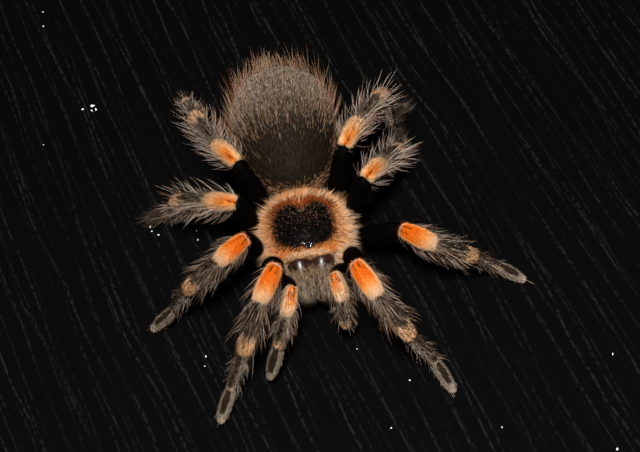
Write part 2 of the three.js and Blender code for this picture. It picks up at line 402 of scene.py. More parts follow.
def joined(pieces, name):
    """The pieces as one, with the name given; it stays selected."""
    deselect()
    for piece in pieces:
        piece.select_set(True)
    bpy.context.view_layer.objects.active = pieces[0]
    bpy.ops.object.join()
    pieces[0].name = pieces[0].data.name = name
    return pieces[0]


def drop(model):
    bpy.data.objects.remove(model, do_unlink=True)


def dress(piece, material, slot, *nodes):
    """Gives a piece its material and hides the solids that it stands for; the slot is not used."""
    piece.data.materials.clear()
    piece.data.materials.append(material)
    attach(piece, "root")
    if nodes:
        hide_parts(*nodes)
    return piece


def paint_tone(piece, tones):
    """Writes one tone for each vertex of the piece."""
    layer = piece.data.attributes.new("tone", "FLOAT", "POINT")
    layer.data.foreach_set("value", np.asarray(tones, dtype=np.float32))


def vertices_of(piece):
    places = np.empty(len(piece.data.vertices) * 3)
    piece.data.vertices.foreach_get("co", places)
    return places.reshape(-1, 3)


def unit(vectors):
    return vectors / np.maximum(np.linalg.norm(vectors, axis=-1, keepdims=True), 1e-12)


def scatter(piece, count, rng):
    """Random points on a piece's surface, evenly spread, with the surface's direction at each."""
    mesh = piece.data
    mesh.calc_loop_triangles()
    corners = np.empty(len(mesh.loop_triangles) * 3, dtype=np.int64)
    mesh.loop_triangles.foreach_get("vertices", corners)
    places = vertices_of(piece)
    normals = np.empty(len(mesh.vertices) * 3)
    mesh.vertices.foreach_get("normal", normals)
    normals = normals.reshape(-1, 3)[corners.reshape(-1, 3)]
    triangles = places[corners.reshape(-1, 3)]
    areas = np.linalg.norm(
        np.cross(triangles[:, 1] - triangles[:, 0], triangles[:, 2] - triangles[:, 0]), axis=1)
    chosen = rng.choice(len(areas), size=count, p=areas / areas.sum())
    a, b = rng.random(count), rng.random(count)
    flip = a + b > 1
    a[flip], b[flip] = 1 - a[flip], 1 - b[flip]
    weights = np.stack([1 - a - b, a, b], axis=1)[:, :, None]
    points = (triangles[chosen] * weights).sum(axis=1)
    return points, unit((normals[chosen] * weights).sum(axis=1))


# A strand's sides, how much thinner it is near its tip, and how far apart in tone its sides are
STRAND_SIDES = 3
STRAND_TAPER = 0.6
SIDE_TONE_STEP = 0.003
# How far the tones keep inside their strip of the UV map, and the most that a stray one may pass that
STRIP_MARGIN = 0.01
STRIP_LIMIT = 0.002


class Coat:
    """Collects strands of hair and makes them one mesh of thin closed three-sided spikes."""

    def __init__(self):
        self.places, self.strips, self.faces, self.used = [], [], [], 0

    def add(self, roots, heads, lengths, widths, tones, curl=None, joints=1):
        """Strands from roots along heads. curl bends them as they go, and joints is how many lengths
        each has. Lengths and widths are in millimetres."""
        count = len(roots)
        if count == 0:
            return
        lengths = np.broadcast_to(lengths, count)[:, None] * MM
        widths = np.broadcast_to(widths, count)[:, None] * MM
        tones = np.broadcast_to(tones, count)
        curl = np.zeros_like(roots) if curl is None else curl
        steady = np.where(np.abs(heads[:, 2:3]) < 0.9, [[0.0, 0.0, 1.0]], [[1.0, 0.0, 0.0]])
        side = unit(np.cross(heads, steady))
        lift = np.cross(side, heads)
        rings, strips = [], []
        for joint in range(joints):
            along = joint / joints
            centre = roots + lengths * (heads * along + curl * along ** 2)
            radius = widths / 2 * (1 - STRAND_TAPER * along)
            for corner in range(STRAND_SIDES):
                angle = corner * math.tau / STRAND_SIDES
                rings.append(centre + radius * (side * math.cos(angle) + lift * math.sin(angle)))
                side_tones = tones + SIDE_TONE_STEP * (corner - 1)
                strips.append(np.stack([side_tones, np.full(count, along)], axis=1))
        rings.append(roots + lengths * (heads + curl))
        strips.append(np.stack([tones, np.ones(count)], axis=1))
        stride = len(rings)
        self.places.append(np.stack(rings, axis=1).reshape(-1, 3))
        self.strips.append(np.stack(strips, axis=1).reshape(-1, 2))
        pattern = [(0, 2, 1)]
        for joint in range(joints - 1):
            low, high = joint * STRAND_SIDES, (joint + 1) * STRAND_SIDES
            for corner in range(STRAND_SIDES):
                after = (corner + 1) % STRAND_SIDES
                pattern.append((low + corner, low + after, high + after))
                pattern.append((low + corner, high + after, high + corner))
        top = (joints - 1) * STRAND_SIDES
        for corner in range(STRAND_SIDES):
            pattern.append((top + corner, top + (corner + 1) % STRAND_SIDES, stride - 1))
        first = self.used + np.arange(count)[:, None, None] * stride
        self.faces.append((first + np.array(pattern)[None]).reshape(-1, 3))
        self.used += count * stride

    def build(self, name):
        places = np.concatenate(self.places)
        corners = np.concatenate(self.faces).reshape(-1)
        strips = np.concatenate(self.strips)
        strips = np.clip(strips * (1 - 2 * STRIP_MARGIN) + STRIP_MARGIN, STRIP_LIMIT, 1 - STRIP_LIMIT)
        mesh = bpy.data.meshes.new(name)
        mesh.vertices.add(len(places))
        mesh.vertices.foreach_set("co", places.reshape(-1))
        mesh.loops.add(len(corners))
        mesh.loops.foreach_set("vertex_index", corners)
        mesh.polygons.add(len(corners) // 3)
        mesh.polygons.foreach_set("loop_start", np.arange(0, len(corners), 3))
        layer = mesh.uv_layers.new(name="OFBake")
        layer.data.foreach_set("uv", strips[corners].reshape(-1))
        mesh.update()
        mesh.validate()
        piece = bpy.data.objects.new(name, mesh)
        bpy.context.collection.objects.link(piece)
        return piece


def combed(normals, along, tilt, rng, scatter_by=0.2):
    """Directions that lie along the surface and stand up from it by tilt, in radians, a little untidy."""
    flat = unit(along - normals * (along * normals).sum(axis=1, keepdims=True))
    tilt = np.broadcast_to(tilt, len(normals))[:, None]
    return unit(flat * np.cos(tilt) + normals * np.sin(tilt) + rng.normal(0, scatter_by, normals.shape))


def smooth(value, low, high):
    """0 below low, 1 above high, and an eased slope between."""
    share = np.clip((value - low) / (high - low), 0, 1)
    return share * share * (3 - 2 * share)


def mix(first, second, share):
    return first + (second - first) * share


# ---------------------------------------------------------------- materials
# Root shade: how dark the painted shade at the roots of each coat's strands gets
COAT = coat_material("short_coat", roughness=0.7, specular=0.0, root_shade=0.68)
SHIELD_COAT = coat_material("shield_coat", roughness=0.6, specular=0.0, root_shade=0.9)
LONG_HAIR = coat_material("long_hair", roughness=0.5, specular=0.25, root_shade=0.55)
SKIN = skin_material("limb_skin", roughness=0.6, specular=0.03, grain=2600, bump=0.5)
SHELL = skin_material("carapace_shell", roughness=0.5, specular=0.03, grain=1900, bump=0.9)
JAW_SHELL = mottled_material(
    "jaw_shell", (0.007, 0.0035, 0.0025), (0.024, 0.008, 0.005),
    roughness=0.28, specular=0.18, grain=900, bump=0.25)
FANG_HORN = mottled_material(
    "fang_horn", (0.006, 0.003, 0.002), (0.022, 0.008, 0.004),
    roughness=0.16, specular=0.6, grain=1200, bump=0.1)
EYE_GLOSS = mottled_material(
    "eye_gloss", (0.003, 0.002, 0.002), (0.012, 0.006, 0.004),
    roughness=0.08, specular=1.0, grain=2500, bump=0.02, ior=2.3)
CRUMB_WHITE = mottled_material(
    "white_crumb", (0.45, 0.44, 0.42), (0.88, 0.88, 0.86),
    roughness=0.6, specular=0.3, grain=4000, bump=0.6)
LAMINATE = grained_material(
    "black_laminate", (0.0014, 0.0013, 0.0013), (0.0100, 0.0098, 0.0094), roughness=0.5, specular=0.008,
    layers=[(120, 1.8, 0.05, 1.0), (190, 2.2, 0.075, 0.85), (290, 2.6, 0.09, 0.5)], bump=0.2)
RAIL_PAINT = grained_material(
    "black_rail_paint", (0.004, 0.004, 0.004), (0.009, 0.009, 0.009), roughness=0.4, specular=0.35,
    layers=[(700, 6, 0.12, 0.8)], bump=0.4)


# ---------------------------------------------------------------- frame and board
RAILS = ("front_rail", "right_rail", "back_rail", "left_rail")
# The rails' painted edges are eased by a small round
EASED_EDGE = 0.4
EASED_EDGE_STEPS = 3
SMOOTH_BELOW = math.radians(30)


def frame_and_board():
    """The board's laminate, and a painted copy of each rail with its edges eased."""
    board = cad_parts["backing_board"]
    board.data.materials.clear()
    board.data.materials.append(LAMINATE)
    for name in RAILS:
        rail = bpy.data.objects.new(f"{name}_painted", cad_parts[name].data.copy())
        bpy.context.collection.objects.link(rail)
        finish_mesh(rail, levels=0)
        edge = rail.modifiers.new("eased edges", "BEVEL")
        edge.width = EASED_EDGE * MM
        edge.segments = EASED_EDGE_STEPS
        edge.limit_method = "ANGLE"
        bpy.context.view_layer.objects.active = rail
        bpy.ops.object.modifier_apply(modifier="eased edges")
        bpy.ops.object.shade_smooth_by_angle(angle=SMOOTH_BELOW)
        dress(rail, RAIL_PAINT, "rail_paint", name)


# ---------------------------------------------------------------- limbs
# The skin of each kind of piece: rings of (share of its length, radius in millimetres)
LIMB_RINGS = {
    "femur": [(0, 0.5), (0.02, 1.1), (0.08, 1.5), (0.3, 1.95), (0.6, 2.0), (0.85, 1.85), (0.96, 1.4),
              (1, 0.5)],
    "patella": [(0, 0.5), (0.02, 1.05), (0.07, 1.4), (0.2, 1.75), (0.42, 2.0), (0.65, 2.05), (0.82, 1.85),
                (0.92, 1.5), (0.98, 1.0), (1, 0.4)],
    "tibia": [(0, 0.5), (0.03, 1.25), (0.12, 1.6), (0.4, 1.85), (0.7, 1.85), (0.9, 1.65), (0.98, 1.25),
              (1, 0.5)],
    "metatarsus": [(0, 0.4), (0.03, 1.0), (0.12, 1.25), (0.5, 1.35), (0.85, 1.2), (0.97, 0.9), (1, 0.4)],
    "tarsus": [(0, 0.3), (0.04, 0.8), (0.15, 1.05), (0.35, 1.22), (0.58, 1.2), (0.82, 0.92), (0.95, 0.55),
               (1, 0.25)],
}
# How wide a palp's pieces and a front patella are, as shares of those outlines
PALP_SLIMNESS = {"femur": 0.72, "patella": 0.78, "tibia": 0.8, "tarsus": 1.2}
FRONT_PATELLA_SLIMNESS = 0.92
# The outlines are modelled at this length, and stretched to each piece's own
MODEL_LENGTH = 10
PIECE_SLOTS = {"femur": "dark_skin", "patella": "orange_coat", "tibia": "leg_coat",
               "metatarsus": "leg_coat", "tarsus": "foot_coat"}
# How far each piece's skin runs past the middle of the joint, so that the joints stay closed
JOINT_OVERLAP = 0.35


def poles(node):
    """The two ends of a turned solid: its points that are farthest apart."""
    points = vertices_of(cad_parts[node])
    first = points[np.argmax(((points - points.mean(axis=0)) ** 2).sum(axis=1))]
    second = points[np.argmax(((points - first) ** 2).sum(axis=1))]
    return Vector(first), Vector(second)


class LimbPiece:
    """One piece of a limb: where it starts, the way it runs, and which way its back faces."""

    def __init__(self, limb, kind, start, end):
        self.limb, self.kind = limb, kind
        self.name = f"{limb}_{kind}"
        self.axis = (end - start).normalized()
        self.start = start - self.axis * JOINT_OVERLAP * MM
        self.length = (end - start).length + 2 * JOINT_OVERLAP * MM
        up = Vector((0, 0, 1))
        self.back = (up - self.axis * up.dot(self.axis)).normalized()
        self.side = self.back.cross(self.axis)
        self.inward = 1 if limb.startswith("left") else -1

    def matrix(self, slimness=1.0):
        turn = Matrix((self.side, self.back, self.axis)).transposed().to_4x4()
        stretch = Matrix.Diagonal((slimness, slimness, self.length / (MODEL_LENGTH * MM), 1))
        return Matrix.Translation(self.start) @ turn @ stretch

    def measure(self, points):
        """For each point: the share of the way along, and the angle round from the back, inwards."""
        away = points - np.array(self.start)
        along = away @ np.array(self.axis) / self.length
        angle = np.arctan2(away @ np.array(self.side), away @ np.array(self.back))
        return along, angle * self.inward


def read_limb(limb, kinds):
    """The pieces of a limb in order, from the ends of their solids."""
    middle = spot(0, 0, 8)
    ends = []
    last = middle
    for kind in kinds:
        first, second = poles(f"{limb}_{kind}")
        if (second - last).length < (first - last).length:
            first, second = second, first
        ends.append((first, second))
        last = second
    joints = [ends[0][0]]
    joints += [(before[1] + after[0]) / 2 for before, after in zip(ends, ends[1:])]
    joints.append(ends[-1][1])
    return [LimbPiece(limb, kind, start, end) for kind, start, end in zip(kinds, joints, joints[1:])]


# Where the orange of a patella starts and ends to turn light: round from its back, and on its way out
PATELLA_LOOKS = {"front": ((0.75, 1.7), (0.36, 1.05)), "palp": ((0.3, 1.2), (0.35, 1.1)),
                 "back": ((0.05, 1.3), (0.15, 0.95))}


# The orange lies this far, in radians, to the inner side of the back
ORANGE_LEAN = 0.3
# A patella is dark below this angle from its back
PATELLA_UNDER = 1.75
# The share of its hairs that are bright flecks in the orange, and the share of a palp's that are brown
FLECK_SHARE = 0.1
PALP_BROWN_SHARE = 0.16


def patella_tone(along, angle, rng, look):
    """Orange down the middle of the back, light at the far end and round the edges, dark below, with
    dark streaks near the knee. Back legs are lighter, with a narrow orange middle."""
    under = np.abs(angle) > PATELLA_UNDER + rng.normal(0, 0.15, len(angle))
    angle = angle - ORANGE_LEAN
    spread = np.abs(angle)
    count = len(along)
    sides, far = PATELLA_LOOKS[look]
    flank, end = smooth(spread, *sides), smooth(along, *far)
    streaks = rng.normal(0, 1, 48)[((angle + 4) * 6).astype(int)]
    streaks *= 0.02 if look == "palp" else 0.01
    side, tip = (TAN + 0.005, PEACH - 0.01) if look == "palp" else (CREAM - 0.02, CREAM - 0.015)
    tone = mix(mix(ORANGE - (0.04 if look == "back" else 0), side, flank), tip, end) + streaks
    fleck = (rng.random(count) < FLECK_SHARE) & (np.maximum(flank, end) < 0.3)
    tone = np.where(fleck, ORANGE + 0.03, tone)
    tone = np.where(under, BROWN, tone)
    if look == "palp":
        tone = np.where(rng.random(count) < PALP_BROWN_SHARE, BROWN, tone)
    if look == "back":
        marks = ((along - 0.07) / 0.07) ** 2 + (angle / 0.22) ** 2
    else:
        reach, width = (0.3, 0.16) if look == "palp" else (0.13, 0.12)
        marks = ((along - 0.13) / reach) ** 2 + ((spread - 0.36) / width) ** 2
    return np.where(marks < 1 + 0.4 * rng.normal(size=count), RUST, tone)


def tibia_tone(along, angle, rng, look):
    """Brown or olive with a darker line down the back, and a light patch of two lobes at the far end."""
    spread = np.abs(angle)
    count = len(along)
    side = {"front": BROWN + 0.01, "palp": OLIVE, "back": OLIVE}[look]
    tone = mix(DARK, side, smooth(spread + rng.normal(0, 0.25, count), 0.15, 1.0))
    tone = tone + rng.normal(0, 0.035, count)
    tone = np.where(rng.random(count) < 0.14, rng.choice([TAN - 0.03, ASH], count), tone)
    start = 0.63 + 0.1 * np.exp(-(angle / 0.22) ** 2) + 0.06 * rng.normal(size=count)
    patch = (along > start) & (spread < 1.5)
    light = mix(PEACH + 0.01, CREAM + 0.02, smooth(along, 0.6, 0.7))
    light = np.where(rng.random(count) < 0.08, PALE - 0.03, light)
    if look == "palp":
        light = mix(TAN, PEACH, smooth(along, 0.7, 0.85))
    if look == "back":
        light = np.where(rng.random(count) < 0.5, PINK, light)
    return np.where(patch, light + rng.uniform(-0.02, 0.02, count), tone)


def metatarsus_tone(along, angle, rng, look):
    """Olive with a dark line down the back, and a light ring at the far end."""
    spread = np.abs(angle)
    count = len(along)
    tone = mix(DARK + 0.03, OLIVE + 0.02, smooth(spread + rng.normal(0, 0.2, count), 0.1, 0.9))
    tone = tone + rng.normal(0, 0.03, count)
    start = 0.74 if look == "back" else 0.86
    ring = (along > start) & (spread < 1.2)
    return np.where(ring, rng.choice([PEACH + 0.04, PINK, PALE - 0.04], count), tone)


def tarsus_tone(along, angle, rng, look):
    """Grey pile round the edge, a dark stripe down the back, and some pale hairs at the tip."""
    ragged = np.abs(angle) + 0.07 * rng.normal(size=len(along))
    stripe = (ragged < 0.6 - 0.42 * np.abs(along - 0.38)) & (along < 0.74) & (along > 0.03)
    near, far = (BROWN - 0.04, BROWN + 0.02) if look == "back" else (OLIVE + 0.01, ASH - 0.01)
    grey = mix(near, far, smooth(along, 0.4, 1)) + rng.normal(0, 0.055, len(along))
    tip = (along > 0.88) & (rng.random(len(along)) < 0.4) & (look != "back")
    return np.where(stripe, DARK + 0.03 * rng.random(len(along)), np.where(tip, PALE - 0.04, grey))


def femur_tone(along, angle, rng, look):
    """Black all over."""
    return np.full(len(along), BLACK)


PIECE_TONES = {"femur": femur_tone, "patella": patella_tone, "tibia": tibia_tone,
               "metatarsus": metatarsus_tone, "tarsus": tarsus_tone}


def look_of(limb):
    if limb in PALPS:
        return "palp"
    return "back" if limb.endswith(("leg_3", "leg_4")) else "front"


def piece_tone(piece, along, angle, rng):
    return PIECE_TONES[piece.kind](along, angle, rng, look_of(piece.limb))


# Short coat of each kind of piece: hairs to a square millimetre, length, width, lean from the surface
SHORT_COAT = {
    "femur": (14, 1.0, 0.08, 0.4),
    "patella": (42, 1.2, 0.078, 0.26),
    "tibia": (34, 1.5, 0.08, 0.3),
    "metatarsus": (34, 1.1, 0.08, 0.36),
    "tarsus": (60, 0.6, 0.08, 0.8),
}
# Long loose hairs: how many on a piece, shortest, longest, and the lean that they start at
LONG_COAT = {
    "femur": (20, 1.2, 2.2, 0.6),
    "patella": (150, 1.5, 2.8, 1.15),
    "tibia": (240, 1.7, 3.3, 1.25),
    "metatarsus": (120, 1.0, 2.1, 1.2),
    "tarsus": (18, 0.7, 1.3, 0.9),
}
# The back feet are shaggy all over
SHAGGY_TARSUS = (150, 1.2, 2.6, 0.8)
# On back legs the long hairs are fewer and longer, by these shares
BACK_LEG_THINNING = 0.85
BACK_LEG_LENGTHENING = 1.5
LONG_HAIR_WIDTH = {"front": 0.05, "palp": 0.05, "back": 0.056}
# The share of the long hairs that is missing over a tibia's light patch
PATCH_BARENESS = {"front": 0.9, "palp": 0.9, "back": 0.4}
# The share of a patella's rust marks that is dark hair
MARK_DARKNESS = {"front": 0.7, "palp": 0.7, "back": 0.2}
# The share of a patella's hairs that is pale at its far end
PALE_END_SHARE = 0.3
# The share of the short coat that grows on the under side
BELLY_SHARE = 0.5
# The share of the long hairs that grows on the back of each piece; the others grow down its sides
BACK_SHARE = 0.12
LONG_TONES = [PALE, PINK, SALMON, TAN, BROWN, DARK]
LONG_SHARES = {"front": [0.22, 0.34, 0.08, 0.14, 0.14, 0.08],
               "palp": [0.2, 0.25, 0.1, 0.15, 0.2, 0.1],
               "back": [0.5, 0.32, 0.08, 0.06, 0.02, 0.02]}


def cover_piece(piece, skin, coat, long_coat, rng, share=1.0):
    """Grows the short coat and the long hairs of one limb piece."""
    look = look_of(piece.limb)
    axis = np.array(piece.axis)
    density, length, width, lean = SHORT_COAT[piece.kind]
    area = sum(face.area for face in skin.data.polygons) / MM ** 2
    roots, normals = scatter(skin, int(area * density), rng)
    along, angle = piece.measure(roots)
    seen = (np.abs(angle) < 2) | (rng.random(len(roots)) < BELLY_SHARE)
    roots, normals, along, angle = roots[seen], normals[seen], along[seen], angle[seen]
    tones = piece_tone(piece, along, angle, rng)
    count = len(roots)
    if piece.kind == "patella":
        pale = rng.random(count) < PALE_END_SHARE * smooth(along, 0.75, 0.95)
        tones = np.where(pale, PALE - 0.05, tones)
        marked = (tones == RUST) & (rng.random(count) < MARK_DARKNESS[look])
        tones = np.where(marked, DARK, tones)
    raised = lean + 0.3 * smooth(along, 0.8, 0.95)
    heads = combed(normals, np.broadcast_to(axis, roots.shape), raised, rng, 0.12)
    lengths = length * share * rng.uniform(0.6, 1.25, count)
    coat.add(roots, heads, lengths, width, tones + rng.normal(0, 0.008, count))
    if piece.kind == "patella" and look != "back":
        rim = (along > 0.03) & (along < 0.085) & (np.abs(angle) < 1.7)
        number = int(rim.sum())
        heads = combed(normals[rim], np.broadcast_to(axis, (number, 3)), 1.25, rng, 0.1)
        coat.add(roots[rim], heads, 0.5 * share, 0.08, rng.uniform(PINK, PALE, number))

    shaggy = look == "back" and piece.kind == "tarsus"
    number, shortest, longest, lean = SHAGGY_TARSUS if shaggy else LONG_COAT[piece.kind]
    thinning = BACK_LEG_THINNING if look == "back" else 1
    roots, normals = scatter(skin, int(number * share * thinning), rng)
    along, angle = piece.measure(roots)
    keep = (np.abs(angle) > 0.75) | (rng.random(len(roots)) < (1 if shaggy else BACK_SHARE))
    if piece.kind == "tibia":
        keep &= rng.random(len(roots)) > PATCH_BARENESS[look] * smooth(along, 0.5, 0.68)
    roots, normals, along, angle = roots[keep], normals[keep], along[keep], angle[keep]
    count = len(roots)
    lean = lean * rng.uniform(0.55, 1.05, count) if look == "back" else lean * rng.uniform(0.7, 1.3, count)
    heads = combed(normals, np.broadcast_to(axis, roots.shape), lean, rng, 0.16)
    arch = rng.uniform(0.5, 1.2, count) if look == "back" else rng.uniform(0.9, 1.8, count)
    curl = np.broadcast_to(axis, roots.shape) * arch[:, None]
    lengthening = BACK_LEG_LENGTHENING if look == "back" and not shaggy else 1
    lengths = share * rng.uniform(shortest, longest, count) * lengthening
    tones = rng.choice(LONG_TONES, count, p=LONG_SHARES[look])
    if piece.kind == "femur":
        tones = np.full(count, DARK - 0.03)
    if shaggy:
        tones = rng.choice([BROWN, DARK + 0.03, OLIVE, TAN - 0.04], count, p=[0.4, 0.35, 0.15, 0.1])
        # Painted shade: the feet of the right back legs are made darker.
        if piece.inward < 0:
            tones = np.maximum(tones - 0.07, BLACK)
    long_coat.add(roots, heads, lengths, LONG_HAIR_WIDTH[look], tones, curl=curl, joints=4)


PALP_HAIR_SHARE = 0.75


def limbs():
    """Every leg and palp: the skins of its pieces, one short coat and one of long hairs."""
    models = {kind: turned(f"model_{kind}", [(share * MODEL_LENGTH, radius) for share, radius in rings])
              for kind, rings in LIMB_RINGS.items()}
    for order, limb in enumerate(LIMBS + PALPS):
        rng = np.random.default_rng(100 + order)
        is_palp = limb in PALPS
        coat, long_coat = Coat(), Coat()
        for piece in read_limb(limb, PALP_PIECES if is_palp else LEG_PIECES):
            slimness = PALP_SLIMNESS[piece.kind] if is_palp else 1.0
            if piece.kind == "patella" and look_of(limb) == "front":
                slimness = FRONT_PATELLA_SLIMNESS
            skin = copy_of(models[piece.kind], f"{piece.name}_skin", piece.matrix(slimness))
            along, angle = piece.measure(vertices_of(skin))
            under_tone = piece_tone(piece, along, angle, rng) - 0.02
            under_tone = np.where(under_tone > SALMON, PEACH, np.minimum(under_tone, ORANGE))
            paint_tone(skin, np.maximum(under_tone, BLACK))
            dress(skin, SKIN, PIECE_SLOTS[piece.kind], piece.name)
            cover_piece(piece, skin, coat, long_coat, rng, share=PALP_HAIR_SHARE if is_palp else 1.0)
        dress(coat.build(f"{limb}_coat"), COAT, "leg_coat")
        dress(long_coat.build(f"{limb}_long_hair"), LONG_HAIR, "leg_coat")
    for model in models.values():
        drop(model)


# ---------------------------------------------------------------- front part of the body
CARAPACE_RADIUS = 8.8
CARAPACE_LOW, CARAPACE_RISE = 9.3, 4.6
# The dome's outline: shares of its rise and of its radius
CARAPACE_RINGS = [(0, 0.97), (0.03, 1.0), (0.1, 1.0), (0.28, 0.965), (0.5, 0.88), (0.7, 0.76), (0.82, 0.63),
                  (0.9, 0.5), (0.96, 0.36), (0.99, 0.22), (1.0, 0.08)]
# The head end is cut square
CARAPACE_FRONT = -7.7
CARAPACE_SHIFT = -0.35
GROOVE_COUNT = 6
GROOVE_START = math.radians(15)
# The black patch: half its width and length, and how square its corners are
PATCH_MIDDLE, PATCH_WIDTH, PATCH_LENGTH = (-0.2, -0.8), 6.45, 5.5
PATCH_SQUARENESS = 2.7
FOVEA = (0.0, 2.6)
# The eyes stand on a mound, and the hair keeps this far from its middle
EYE_MOUND = (0.15, -6.1)
EYE_CLEARING = 0.75
# How many hairs the shield's coat starts from, and the shares of those at its rim, and at its rear rim, that
# have a long hair or a bristle beside them
SHIELD_ROOTS = 44000
FRINGE_SHARE = 0.47
BRISTLE_SHARE = 0.2
SHIELD_HAIR_WIDTH, FRINGE_HAIR_WIDTH, BRISTLE_WIDTH = 0.072, 0.062, 0.08


def patch_distance(x, y):
    """How far a place is outside the black patch, in millimetres; below 0 inside it."""
    across, along = (x - PATCH_MIDDLE[0]) / PATCH_WIDTH, (y - PATCH_MIDDLE[1]) / PATCH_LENGTH
    powers = np.abs(across) ** PATCH_SQUARENESS + np.abs(along) ** PATCH_SQUARENESS
    outside = (powers ** (1 / PATCH_SQUARENESS) - 1) * 6.2
    notch = (y - (FOVEA[1] - 0.1 + 0.9 * np.sqrt((x - FOVEA[0]) ** 2 + 0.16))) * 0.8
    return np.maximum(outside, np.minimum(notch, 0.9))


def to_specimen(points):
    """Places in the frame as the specimen's own millimetres."""
    back = np.array(PLACE.inverted())
    return (points @ back[:3, :3].T + back[:3, 3]) / MM


def press(piece, places, height, reach, falloff="SMOOTH"):
    """Moves the piece's points nearest to the places up by height, and those within reach along."""
    points = vertices_of(piece) / MM
    too_low = 10 * (points[:, 2] < 1)
    near = [np.argmin(np.hypot(points[:, 0] - x, points[:, 1] - y) + too_low) for x, y in places]
    edit(piece, near)
    bpy.ops.transform.translate(
        value=(0, 0, height * MM), use_proportional_edit=True, proportional_edit_falloff=falloff,
        proportional_size=reach * MM)
    bpy.ops.object.mode_set(mode="OBJECT")


def carapace_model():
    """A domed shield with a raised head, a pit in the middle and grooves that run out from it."""
    rings = [(rise * CARAPACE_RISE, reach * CARAPACE_RADIUS) for rise, reach in CARAPACE_RINGS]
    shield = turned("carapace_shell", rings, sides=40)
    edit(shield, [point.index for point in shield.data.vertices if point.co.y < CARAPACE_FRONT * MM])
    bpy.ops.transform.resize(value=(1, 0.2, 1), center_override=(0, CARAPACE_FRONT * MM, 0))
    bpy.ops.object.mode_set(mode="OBJECT")
    press(shield, [(0, -4)], 0.5, 4.5)
    press(shield, [(-2.6, -7.0), (0, -7.2), (2.6, -7.0)], 0.8, 3.0)
    press(shield, [(-0.4, -6.3), (0.9, -6.3)], 0.35, 1.3)
    for step in range(GROOVE_COUNT):
        angle = GROOVE_START + step * math.tau / GROOVE_COUNT
        line = [(FOVEA[0] + out * math.cos(angle), FOVEA[1] + out * math.sin(angle))
                for out in (2.4, 3.4, 4.4)]
        press(shield, line, -0.3, 1.3)
    press(shield, [(-0.5, FOVEA[1]), (0.5, FOVEA[1])], -0.7, 1.0, "SHARP")
    shield.data.transform(PLACE @ Matrix.Translation(Vector((CARAPACE_SHIFT, 0, CARAPACE_LOW)) * MM))
    return shield


def carapace_tone(x, y, rng):
    """Each hair's tone and how far it is outside the patch. Black inside, then rust, then straw and
    cream; over the head's edge orange that turns cream."""
    count = len(x)
    distance = patch_distance(x, y)
    ragged = distance + 0.4 * rng.normal(size=count)
    turning = ragged - 1.0 * smooth(y, 1.5, 4.5)
    ring = mix(RUST, SALMON, smooth(turning, 0.0, 0.8))
    far = mix(WARM_STRAW, CREAM, smooth(turning, 1.5, 2.8)) + 0.012 * rng.normal(size=count)
    ring = np.where(rng.random(count) < smooth(turning, 0.4, 1.2), far, ring)
    front = smooth(-y, 4.4, 5.2) * smooth(ragged, 0.1, 0.5)
    band = mix(LIGHT_ORANGE + 0.02, CREAM, smooth(-y, 6.3, 7.4)) + 0.02 * rng.normal(size=count)
    band = np.where(rng.random(count) < 0.24, SALMON, band)
    ring = np.where(rng.random(count) < front, band, ring)
    patch = rng.choice([BLACK, BLACK + 0.04, DARK], count, p=[0.55, 0.3, 0.15])
    return np.where(ragged < 0, patch, ring), ragged


